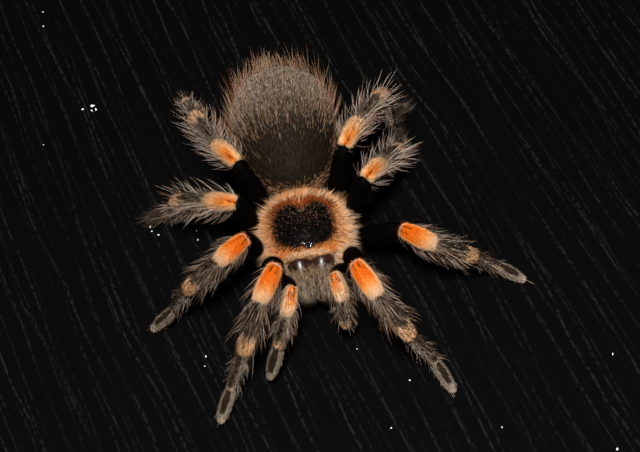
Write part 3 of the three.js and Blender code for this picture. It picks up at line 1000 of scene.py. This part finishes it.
def carapace():
    """The shell, its radial coat with painted glints of lighter hairs in the black patch, and the fringe
    round its rim.
    """
    rng = np.random.default_rng(11)
    shield = carapace_model()
    mine = to_specimen(vertices_of(shield))
    distance = patch_distance(mine[:, 0], mine[:, 1])
    paint_tone(shield, mix(BLACK, TAN, smooth(distance, 0.2, 2.0)))
    dress(shield, SHELL, "shield", "carapace")

    coat = Coat()
    roots, normals = scatter(shield, SHIELD_ROOTS, rng)
    mine = to_specimen(roots)
    outer = patch_distance(mine[:, 0], mine[:, 1]) > -0.8
    above = (normals[:, 2] > -0.2) & (outer | (rng.random(SHIELD_ROOTS) < 0.35))
    above &= np.hypot(mine[:, 0] - EYE_MOUND[0], mine[:, 1] - EYE_MOUND[1]) > EYE_CLEARING
    roots, normals, mine = roots[above], normals[above], mine[above]
    x, y = mine[:, 0], mine[:, 1]
    tone, distance = carapace_tone(x, y, rng)
    count = len(roots)
    turn = np.array(TURN.to_3x3())
    outward = unit(np.stack([x, y + 0.5, np.zeros(count)], axis=1)) @ turn.T
    inside = distance < 0
    edge = smooth(distance, 0.4, 2.2)
    lengths = np.where(inside, 0.45, mix(0.7, 1.9, edge)) * rng.uniform(0.65, 1.25, count)
    lengths *= mix(1, 0.5, smooth(-y, 5.0, 6.5))
    lean = np.where(inside, 0.3, mix(0.6, 0.3, edge))
    heads = combed(normals, outward, lean, rng, 0.18)
    coat.add(roots, heads, lengths, SHIELD_HAIR_WIDTH, tone + rng.normal(0, 0.01, count))

    # painted highlights: short stiff hairs of lighter tones over the patch stand in for its glints, most of
    # them at the pit and down the middle, and give it brown mottling
    pit = 0.5 * np.exp(-((x / 1.2) ** 2 + ((y - 2.0) / 0.6) ** 2))
    ridge = 0.22 * np.exp(-((x / 0.5) ** 2))
    painted_glint = inside & (rng.random(count) < 0.06 + 0.14 * smooth(y, -3, 0.5) + pit + ridge)
    number = int(painted_glint.sum())
    heads = combed(normals[painted_glint], outward[painted_glint], 1.1, rng, 0.5)
    coat.add(roots[painted_glint], heads, rng.uniform(0.2, 0.5, number), 0.08,
             rng.choice([BROWN, OLIVE - 0.02, RUST, PINK], number, p=[0.36, 0.3, 0.22, 0.12]))
    dress(coat.build("carapace_coat"), SHIELD_COAT, "shield")

    # a longer loose fringe round the rim
    fringe_coat = Coat()
    fringe = (distance > 1.3) & (y > -6) & (rng.random(count) < FRINGE_SHARE)
    number = int(fringe.sum())
    heads = combed(normals[fringe], outward[fringe], rng.uniform(0.05, 0.75, number), rng, 0.22)
    reach = rng.uniform(1.6, 3.8, number) * np.where(np.abs(x[fringe]) > 4, 1.4, 1)
    reach *= mix(1, 0.7, smooth(y[fringe], 4, 7))
    fringe_coat.add(roots[fringe], heads, reach, FRINGE_HAIR_WIDTH,
                    rng.choice([WARM_STRAW, CREAM, PALE - 0.04, LIGHT_ORANGE - 0.02], number), joints=2,
                    curl=np.broadcast_to([0.0, 0.0, -0.15], (number, 3)))

    # orange bristles from the rear rim, over the abdomen's front
    bristle = (y > 6.0) & (np.abs(x) < 4.5) & (rng.random(count) < BRISTLE_SHARE)
    number = int(bristle.sum())
    heads = combed(normals[bristle], outward[bristle], rng.uniform(0.2, 0.7, number), rng, 0.15)
    fringe_coat.add(roots[bristle], heads, rng.uniform(1.8, 3.4, number), BRISTLE_WIDTH,
                    rng.choice([LIGHT_ORANGE - 0.02, SALMON, WARM_STRAW], number), joints=2)
    dress(fringe_coat.build("carapace_fringe"), SHIELD_COAT, "shield")


# Each eye: its place and its radius
EYES = [(-0.6, -6.25, 0.5), (0.9, -6.2, 0.5), (-0.3, -6.7, 0.38), (0.6, -6.65, 0.38),
        (-1.0, -5.75, 0.3), (1.3, -5.75, 0.3), (-0.1, -5.75, 0.26), (0.4, -5.75, 0.26)]

# How far an eye leans outwards, in radians for each millimetre from the mound's middle
EYE_LEAN = 0.3


def eyes():
    """Eight small polished beads in two rows on the mound, each with a low collar."""
    rings = [(-0.6, 0.95), (-0.1, 1.12), (0.08, 1.0), (0.4, 0.86), (0.7, 0.6), (0.86, 0.25)]
    bead = turned("model_eye", rings, sides=12)
    skin = to_specimen(vertices_of(bpy.data.objects["carapace_shell"]))
    beads = []
    for number, (x, y, radius) in enumerate(EYES):
        near = skin[np.argmin((skin[:, 0] - x) ** 2 + (skin[:, 1] - y) ** 2 + (skin[:, 2] < 11) * 100)]
        lean = Matrix.Rotation(EYE_LEAN * (x - EYE_MOUND[0]), 4, "Y")
        lean @= Matrix.Rotation(-EYE_LEAN * (y - EYE_MOUND[1]), 4, "X")
        place = Matrix.Translation(spot(x, y, near[2] + 0.15)) @ TURN @ lean
        beads.append(copy_of(bead, f"eye_{number + 1}", place @ Matrix.Scale(radius, 4)))
    piece = joined(beads, "eyes")
    bpy.ops.object.shade_smooth()
    dress(piece, EYE_GLOSS, "shield")
    drop(bead)


def place_between(start, end):
    """The matrix that lays a body modelled along Z between two points, with its back up."""
    axis = (end - start).normalized()
    up = Vector((0, 0, 1))
    back = (up - axis * up.dot(axis)).normalized()
    side = back.cross(axis)
    turn = Matrix((side, back, axis)).transposed().to_4x4()
    return Matrix.Translation(start) @ turn


CHELICERA_START, CHELICERA_END = (2.45, -6.2, 9.1), (1.7, -15.4, 5.2)
CHELICERA_RINGS = [(0, 1.4), (0.2, 2.2), (0.8, 2.6), (2.0, 2.75), (4, 2.7), (6.2, 2.45), (8.4, 2.0),
                   (9.5, 1.3), (10.0, 0.5)]
CHELICERA_BREADTH = 1.08
FANG_RINGS = [(0, 0.3), (0.3, 0.72), (2.2, 0.66), (4.2, 0.42), (5.4, 0.2), (5.7, 0.06)]
# The share of a jaw's length that is bare at its base
BARE_END = 0.275
JAW_ROOTS = 7000
JAW_HAIR_WIDTH = 0.085


def jaws():
    """Two stout jaws, bare and glossy at the base and furred beyond, each with a horn fang below it."""
    rng = np.random.default_rng(21)
    base = turned("model_chelicera", CHELICERA_RINGS, sides=18)
    tooth = turned("model_fang", FANG_RINGS, sides=12)
    for side, name in ((-1, "left"), (1, "right")):
        start = spot(side * CHELICERA_START[0], *CHELICERA_START[1:])
        end = spot(side * CHELICERA_END[0], *CHELICERA_END[1:])
        jaw = copy_of(base, f"{name}_chelicera_skin",
                      place_between(start, end) @ Matrix.Diagonal((CHELICERA_BREADTH, 1, 1, 1)))
        axis = np.array((end - start).normalized())
        length = (end - start).length
        dress(jaw, JAW_SHELL, "jaw_coat", f"{name}_chelicera")

        coat = Coat()
        roots, normals = scatter(jaw, JAW_ROOTS, rng)
        along = (roots - np.array(start)) @ axis / length
        keep = along > BARE_END + 0.04 * rng.normal(size=len(along))
        roots, normals, along = roots[keep], normals[keep], along[keep]
        count = len(roots)
        across = to_specimen(roots)[:, 0]
        streaks = rng.normal(0, 0.075, 64)[(np.abs(across) * 4.5).astype(int)]
        tones = mix(BROWN + 0.02, ASH, smooth(along, 0.35, 0.9)) + streaks + rng.normal(0, 0.04, count)
        golden = rng.random(count) < 0.65 * (1 - smooth(along, 0.4, 0.95))
        tones = np.where(golden, TAN, tones)
        tones = np.where(rng.random(count) < 0.15, DARK, tones)
        # Painted shade: the hairs that face downwards are made dark.
        under = normals[:, 2] < -0.1
        tones = np.where(under, DARK, tones)
        heads = combed(normals, np.broadcast_to(axis, roots.shape), 0.3, rng, 0.13)
        lengths = mix(0.9, 1.9, smooth(along, 0.4, 0.85)) * rng.uniform(0.7, 1.2, count)
        coat.add(roots, heads, lengths, JAW_HAIR_WIDTH, np.clip(tones, BLACK, TAN))
        dress(coat.build(f"{name}_chelicera_coat"), COAT, "jaw_coat")

        fore, rear = sorted(poles(f"{name}_fang"), key=lambda point: to_specimen(np.array([point]))[0][1])
        fang = copy_of(tooth, f"{name}_fang_horn", place_between(fore, rear))
        dress(fang, FANG_HORN, "fang", f"{name}_fang")
    drop(base)
    drop(tooth)


STERNUM_RINGS = [(0, 0.6), (0.35, 2.6), (1.2, 4.0), (2.2, 4.4), (3.2, 4.0), (4.0, 2.4), (4.3, 0.6)]
STERNUM_LOW, STERNUM_STRETCH = 3.9, 1.35
COXA_RINGS = [(0, 0.6), (0.5, 1.5), (2, 1.9), (5, 1.85), (6.8, 1.5), (7.4, 0.6)]
# The height that the coxae start from, and how far out towards each hip, as a share
COXA_LOW, COXA_START = 6.2, 0.3
UNDERSIDE_ROOTS = 14000
UNDERSIDE_HAIR_WIDTH = 0.1


def underside():
    """The sternum plate and the ten coxae round it: short black hair below, and a pale fringe that
    stands out from under the shield above."""
    rng = np.random.default_rng(31)
    plate = turned("model_sternum", STERNUM_RINGS, sides=20)
    place = PLACE @ Matrix.Translation((0, 0, STERNUM_LOW * MM))
    pieces = [copy_of(plate, "underside_skin", place @ Matrix.Diagonal((1, STERNUM_STRETCH, 1, 1)))]
    coxa = turned("model_coxa", COXA_RINGS, sides=14)
    for limb in LIMBS + PALPS:
        hip = poles(f"{limb}_femur")
        hip = min(hip, key=lambda point: point.z)
        start = spot(0, 0, COXA_LOW).lerp(hip, COXA_START)
        stretch = Matrix.Diagonal((1, 1, (hip - start).length / (COXA_RINGS[-1][0] * MM), 1))
        pieces.append(copy_of(coxa, f"{limb}_coxa", place_between(start, hip) @ stretch))
    body = joined(pieces, "underside_skin")
    bpy.ops.object.shade_smooth()
    paint_tone(body, np.full(len(body.data.vertices), BLACK))
    dress(body, SKIN, "dark_skin", "underside")
    coat = Coat()
    roots, normals = scatter(body, UNDERSIDE_ROOTS, rng)
    mine = to_specimen(roots)
    count = len(roots)
    outward = unit(mine * [1, 1, 0]) @ np.array(TURN.to_3x3()).T
    above = (normals[:, 2] > 0.0) & (np.hypot(mine[:, 0], mine[:, 1]) > 5.5)
    keep = above | (rng.random(count) < 0.4)
    tones = np.where(above, rng.choice([PEACH, CREAM - 0.02, PALE - 0.05, TAN], count), DARK - 0.04)
    lengths = np.where(above, 2.9, 0.8) * rng.uniform(0.6, 1.3, count)
    heads = combed(normals, outward, 0.5, rng, 0.28)
    coat.add(roots[keep], heads[keep], lengths[keep], UNDERSIDE_HAIR_WIDTH, tones[keep])
    dress(coat.build("underside_coat"), COAT, "dark_skin")
    drop(plate)
    drop(coxa)


# ---------------------------------------------------------------- abdomen
ABDOMEN_FRONT, ABDOMEN_REAR = (-0.3, 9.0, 9.2), (-1.6, 40.6, 10.8)
ABDOMEN_FLATNESS = 0.8
# How many short and long hairs start on the abdomen before any is thinned out, and how wide they are
ABDOMEN_ROOTS, ABDOMEN_LONG_ROOTS = 34000, 5200
ABDOMEN_HAIR_WIDTH, ABDOMEN_LONG_WIDTH = 0.085, 0.065
# The tuft over the spinnerets: where it grows, how far it spreads and how many hairs it has
TUFT_MIDDLE, TUFT_SPREAD, TUFT_HAIRS = (-3.0, 39.6, 13.6), (1.5, 0.9, 0.9), 260
ABDOMEN_RINGS = [(0, 1.5), (0.012, 3.6), (0.05, 6.4), (0.12, 8.1), (0.22, 9.4), (0.34, 10.6), (0.47, 11.4),
                 (0.6, 11.7), (0.72, 11.2), (0.82, 9.9), (0.9, 8.0), (0.96, 5.4), (0.99, 2.9), (1, 1.2)]


def abdomen():
    """An egg in short hair, dark in front and painted with a grey sheen behind, with long rusty hairs over
    it.
    """
    rng = np.random.default_rng(41)
    front, rear = spot(*ABDOMEN_FRONT), spot(*ABDOMEN_REAR)
    length = (rear - front).length / MM
    egg = turned("model_abdomen", [(share * length, radius) for share, radius in ABDOMEN_RINGS], sides=32)
    turn = place_between(front, rear) @ Matrix.Diagonal((1, ABDOMEN_FLATNESS, 1, 1))
    body = copy_of(egg, "abdomen_skin", turn)
    drop(egg)
    axis = np.array((rear - front).normalized())
    across = np.array(place_between(front, rear).to_3x3().col[0])

    def measure(points):
        away = points - np.array(front)
        return away @ axis / (length * MM), away @ across / MM

    along, _ = measure(vertices_of(body))
    # The skin lightens towards the rear, under the coat's painted sheen.
    paint_tone(body, mix(DARK, BROWN - 0.02, smooth(along, 0.4, 0.9)))
    dress(body, SKIN, "abdomen_coat", "abdomen")

    coat = Coat()
    roots, normals = scatter(body, ABDOMEN_ROOTS, rng)
    along, x = measure(roots)
    count = len(roots)
    rise = normals[:, 2]
    # Painted sheen: the coat turns ashen grey towards the rear as a sheen of light, and some pink strands
    # there are painted glints.
    painted_sheen = smooth(along + 0.1 * rng.normal(size=count), 0.34, 0.72)
    mottle = np.sin(2.1 * x + 31 * along) * np.sin(1.3 * x - 44 * along)
    painted_sheen_mix = painted_sheen * np.clip(rng.uniform(0.66, 1.26, count) + 0.38 * mottle, 0, 1)
    tones = mix(DARK - 0.035, ASH + 0.02, painted_sheen_mix)
    tones = tones + rng.normal(0, 0.012, count)
    tones = np.where(rng.random(count) < 0.04 * painted_sheen, PINK + 0.03, tones)
    flank = (1 - smooth(rise, 0.1, 0.55)) * (1 - smooth(along, 0.18, 0.45))
    tones = np.where(rng.random(count) < 0.6 * flank, rng.choice([TAN, SALMON - 0.02], count), tones)
    speck = rng.random(count) < 0.15 * np.exp(-((along - 0.53) / 0.16) ** 2)
    tones = np.where(speck, TAN, tones)
    heads = combed(normals, np.broadcast_to(axis, roots.shape), 0.22, rng, 0.12)
    coat.add(roots, heads, rng.uniform(0.7, 1.4, count), ABDOMEN_HAIR_WIDTH, np.clip(tones, BLACK, PALE))
    dress(coat.build("abdomen_coat"), COAT, "abdomen_coat")

    long_coat = Coat()
    roots, normals = scatter(body, ABDOMEN_LONG_ROOTS, rng)
    along, x = measure(roots)
    rim = smooth(np.abs(x), 5, 10.5)
    rear_end = smooth(along, 0.78, 0.93)
    keep = rng.random(len(roots)) < smooth(along, 0.15, 0.5) * mix(0.11, 0.24, np.maximum(rim, rear_end))
    roots, normals, along = roots[keep], normals[keep], along[keep]
    count = len(roots)
    heads = combed(normals, np.broadcast_to(axis, roots.shape), rng.uniform(0.3, 0.6, count), rng, 0.14)
    curl = np.broadcast_to(axis, roots.shape) * rng.uniform(0.1, 0.4, count)[:, None]
    lengths = mix(2.4, 6.1, smooth(along, 0.2, 0.7)) * rng.uniform(0.6, 1.25, count)
    tones = rng.choice([SALMON, SALMON + 0.04, TAN - 0.03, TAN + 0.03, RUST + 0.02], count,
                       p=[0.2, 0.3, 0.2, 0.15, 0.15])
    long_coat.add(roots, heads, lengths, ABDOMEN_LONG_WIDTH, tones, curl=curl, joints=3)

    # a brown tuft over the spinnerets
    centre = np.array(spot(*TUFT_MIDDLE))
    around = rng.normal(0, 1, (TUFT_HAIRS, 3)) * np.array(TUFT_SPREAD) * MM
    heads = unit(np.array(way(-0.05, 0.8, 0.75)) + rng.normal(0, 0.3, (TUFT_HAIRS, 3)))
    curl = np.broadcast_to(np.array(way(0, 0.3, -0.4)), (TUFT_HAIRS, 3))
    long_coat.add(centre + around, heads, rng.uniform(1.4, 3.2, TUFT_HAIRS), 0.09,
                  rng.choice([TAN, BROWN, OLIVE, PEACH - 0.05], TUFT_HAIRS), curl=curl, joints=3)
    dress(long_coat.build("abdomen_long_hair"), LONG_HAIR, "abdomen_coat")
    spinnerets(rng)


SPINNERET_ROOTS = 700


def spinnerets(rng):
    """Two short blunt fingers under the rear end, in short brown hair."""
    finger = turned("model_spinneret", [(0, 0.5), (0.5, 0.85), (2, 0.9), (3.6, 0.7), (4.2, 0.3)], sides=12)
    for side, name in ((-1, "left"), (1, "right")):
        start = spot(-1.5 + side * 1.4, 38.2, 8.2)
        end = spot(-1.6 + side * 1.9, 42.2, 7.4)
        piece = copy_of(finger, f"{name}_spinneret", place_between(start, end))
        paint_tone(piece, np.full(len(piece.data.vertices), BROWN))
        dress(piece, SKIN, "abdomen_coat")
        coat = Coat()
        roots, normals = scatter(piece, SPINNERET_ROOTS, rng)
        axis = np.broadcast_to(np.array((end - start).normalized()), roots.shape)
        heads = combed(normals, axis, 0.5, rng, 0.2)
        coat.add(roots, heads, rng.uniform(0.5, 1.0, SPINNERET_ROOTS), 0.09,
                 rng.uniform(BROWN, TAN, SPINNERET_ROOTS))
        dress(coat.build(f"{name}_spinneret_coat"), COAT, "abdomen_coat")
    drop(finger)


# ---------------------------------------------------------------- crumbs on the board
# White crumbs lying on the laminate: (x, y, radius), in the frame's millimetres
CRUMBS = [(-35.9, 51.0, 0.42), (-35.4, 49.6, 0.24), (-36.4, 49.9, 0.18), (-38.1, 51.2, 0.16),
          (-35.3, 14.3, 0.2), (-35.4, 13.1, 0.17), (-34.4, 11.6, 0.15), (-26.3, 8.7, 0.15),
          (-27.0, 6.4, 0.17), (-36.0, -20.6, 0.17), (-37.0, -22.5, 0.12), (40.2, -57.7, 0.17),
          (12.3, -62.0, 0.15), (30.6, -76.3, 0.2), (0.1, -44.5, 0.14), (-7.8, -52.3, 0.14),
          (-6.7, -33.2, 0.12),
          (-37.2, 82.8, 0.16), (-38.6, 78.6, 0.14), (-49.7, 46.1, 0.1)]


def crumbs():
    """Flakes of chalky dust: one chipped lump, copied at many sizes and turns."""
    rng = np.random.default_rng(51)
    rings = [(-0.5, 0.5), (-0.3, 0.85), (0.1, 1.0), (0.4, 0.7), (0.6, 0.3)]
    lump = turned("model_crumb", rings, sides=7, levels=0)
    side = [face.index for face in lump.data.polygons
            if face.center.x > 0.5 * MM and abs(face.center.z) < 0.3 * MM]
    edit(lump, side, faces=True)
    bpy.ops.mesh.extrude_region_move(TRANSFORM_OT_translate={"value": (0.9 * MM, 0.25 * MM, -0.1 * MM)})
    bpy.ops.transform.resize(value=(0.5, 0.45, 0.6))
    bpy.ops.object.mode_set(mode="OBJECT")
    finish_mesh(lump)
    grains = []
    for number, (x, y, radius) in enumerate(CRUMBS):
        place = Matrix.Translation(Vector((x, y, BOARD_TOP + radius * 0.4)) * MM)
        turn = Matrix.Rotation(rng.uniform(0, math.tau), 4, "Z")
        stretch = Matrix.Diagonal((*(radius * rng.uniform(0.75, 1.6, 2)), radius * 0.8, 1))
        grains.append(copy_of(lump, f"crumb_{number + 1}", place @ turn @ stretch))
    dress(joined(grains, "board_crumbs"), CRUMB_WHITE, "laminate")
    drop(lump)


# ---------------------------------------------------------------- floor, light and camera
FLOOR_SIZE, FLOOR_DROP = 4, 0.0005
FLOOR_COLOUR = (0.72, 0.71, 0.69, 1)
ROOM_COLOUR, ROOM_STRENGTH = (1.0, 0.96, 0.9, 1), 0.02


def add_camera():
    """A long lens that looks down over the spider's head, rolled a little."""
    forward = way(0, math.cos(CAMERA_ELEVATION), -math.sin(CAMERA_ELEVATION))
    level = way(1, 0, 0)
    upright = way(0, math.sin(CAMERA_ELEVATION), math.cos(CAMERA_ELEVATION))
    right = level * math.cos(CAMERA_ROLL) - upright * math.sin(CAMERA_ROLL)
    up = level * math.sin(CAMERA_ROLL) + upright * math.cos(CAMERA_ROLL)
    camera = bpy.data.objects.new("camera", bpy.data.cameras.new("camera"))
    camera.data.lens = CAMERA_LENS
    camera.data.sensor_width = SENSOR_WIDTH
    camera.data.clip_start = 0.01
    turn = Matrix((right, up, -forward)).transposed().to_4x4()
    camera.matrix_world = Matrix.Translation(spot(*CAMERA_AIM) - forward * CAMERA_DISTANCE * MM) @ turn
    bpy.context.collection.objects.link(camera)
    bpy.context.scene.camera = camera


def add_light(name, azimuth, elevation, distance, size, energy):
    """A square soft box that looks at the specimen. Azimuth 0 is over the front rail, and distance and
    size are in metres."""
    away = Vector((math.sin(azimuth) * math.cos(elevation), -math.cos(azimuth) * math.cos(elevation),
                   math.sin(elevation)))
    lamp = bpy.data.lights.new(name, "AREA")
    lamp.size = size
    lamp.energy = energy
    light = bpy.data.objects.new(name, lamp)
    light.location = spot(0, 0, 10) + away * distance
    light.rotation_euler = away.to_track_quat("Z", "Y").to_euler()
    bpy.context.collection.objects.link(light)


def stage():
    """A pale floor, a dim room and two soft lights."""
    deselect()
    bpy.ops.mesh.primitive_plane_add(size=FLOOR_SIZE, location=(0, 0, -FLOOR_DROP))
    floor = bpy.context.object
    floor.name = "floor"
    material, _, _, shader = new_material("pale_floor", 0.8, 0.2)
    shader.inputs["Base Color"].default_value = FLOOR_COLOUR
    floor.data.materials.append(material)
    world = bpy.data.worlds.new("studio")
    world.use_nodes = True
    world.node_tree.nodes["Background"].inputs["Color"].default_value = ROOM_COLOUR
    world.node_tree.nodes["Background"].inputs["Strength"].default_value = ROOM_STRENGTH
    bpy.context.scene.world = world
    bpy.context.scene.view_settings.view_transform = "Standard"
    add_light("key", math.radians(-20), math.radians(76), 0.7, 0.12, 11)
    add_light("fill", math.radians(-70), math.radians(50), 1.2, 0.6, 0.4)


frame_and_board()
limbs()
carapace()
eyes()
jaws()
underside()
abdomen()
crumbs()
stage()
add_camera()
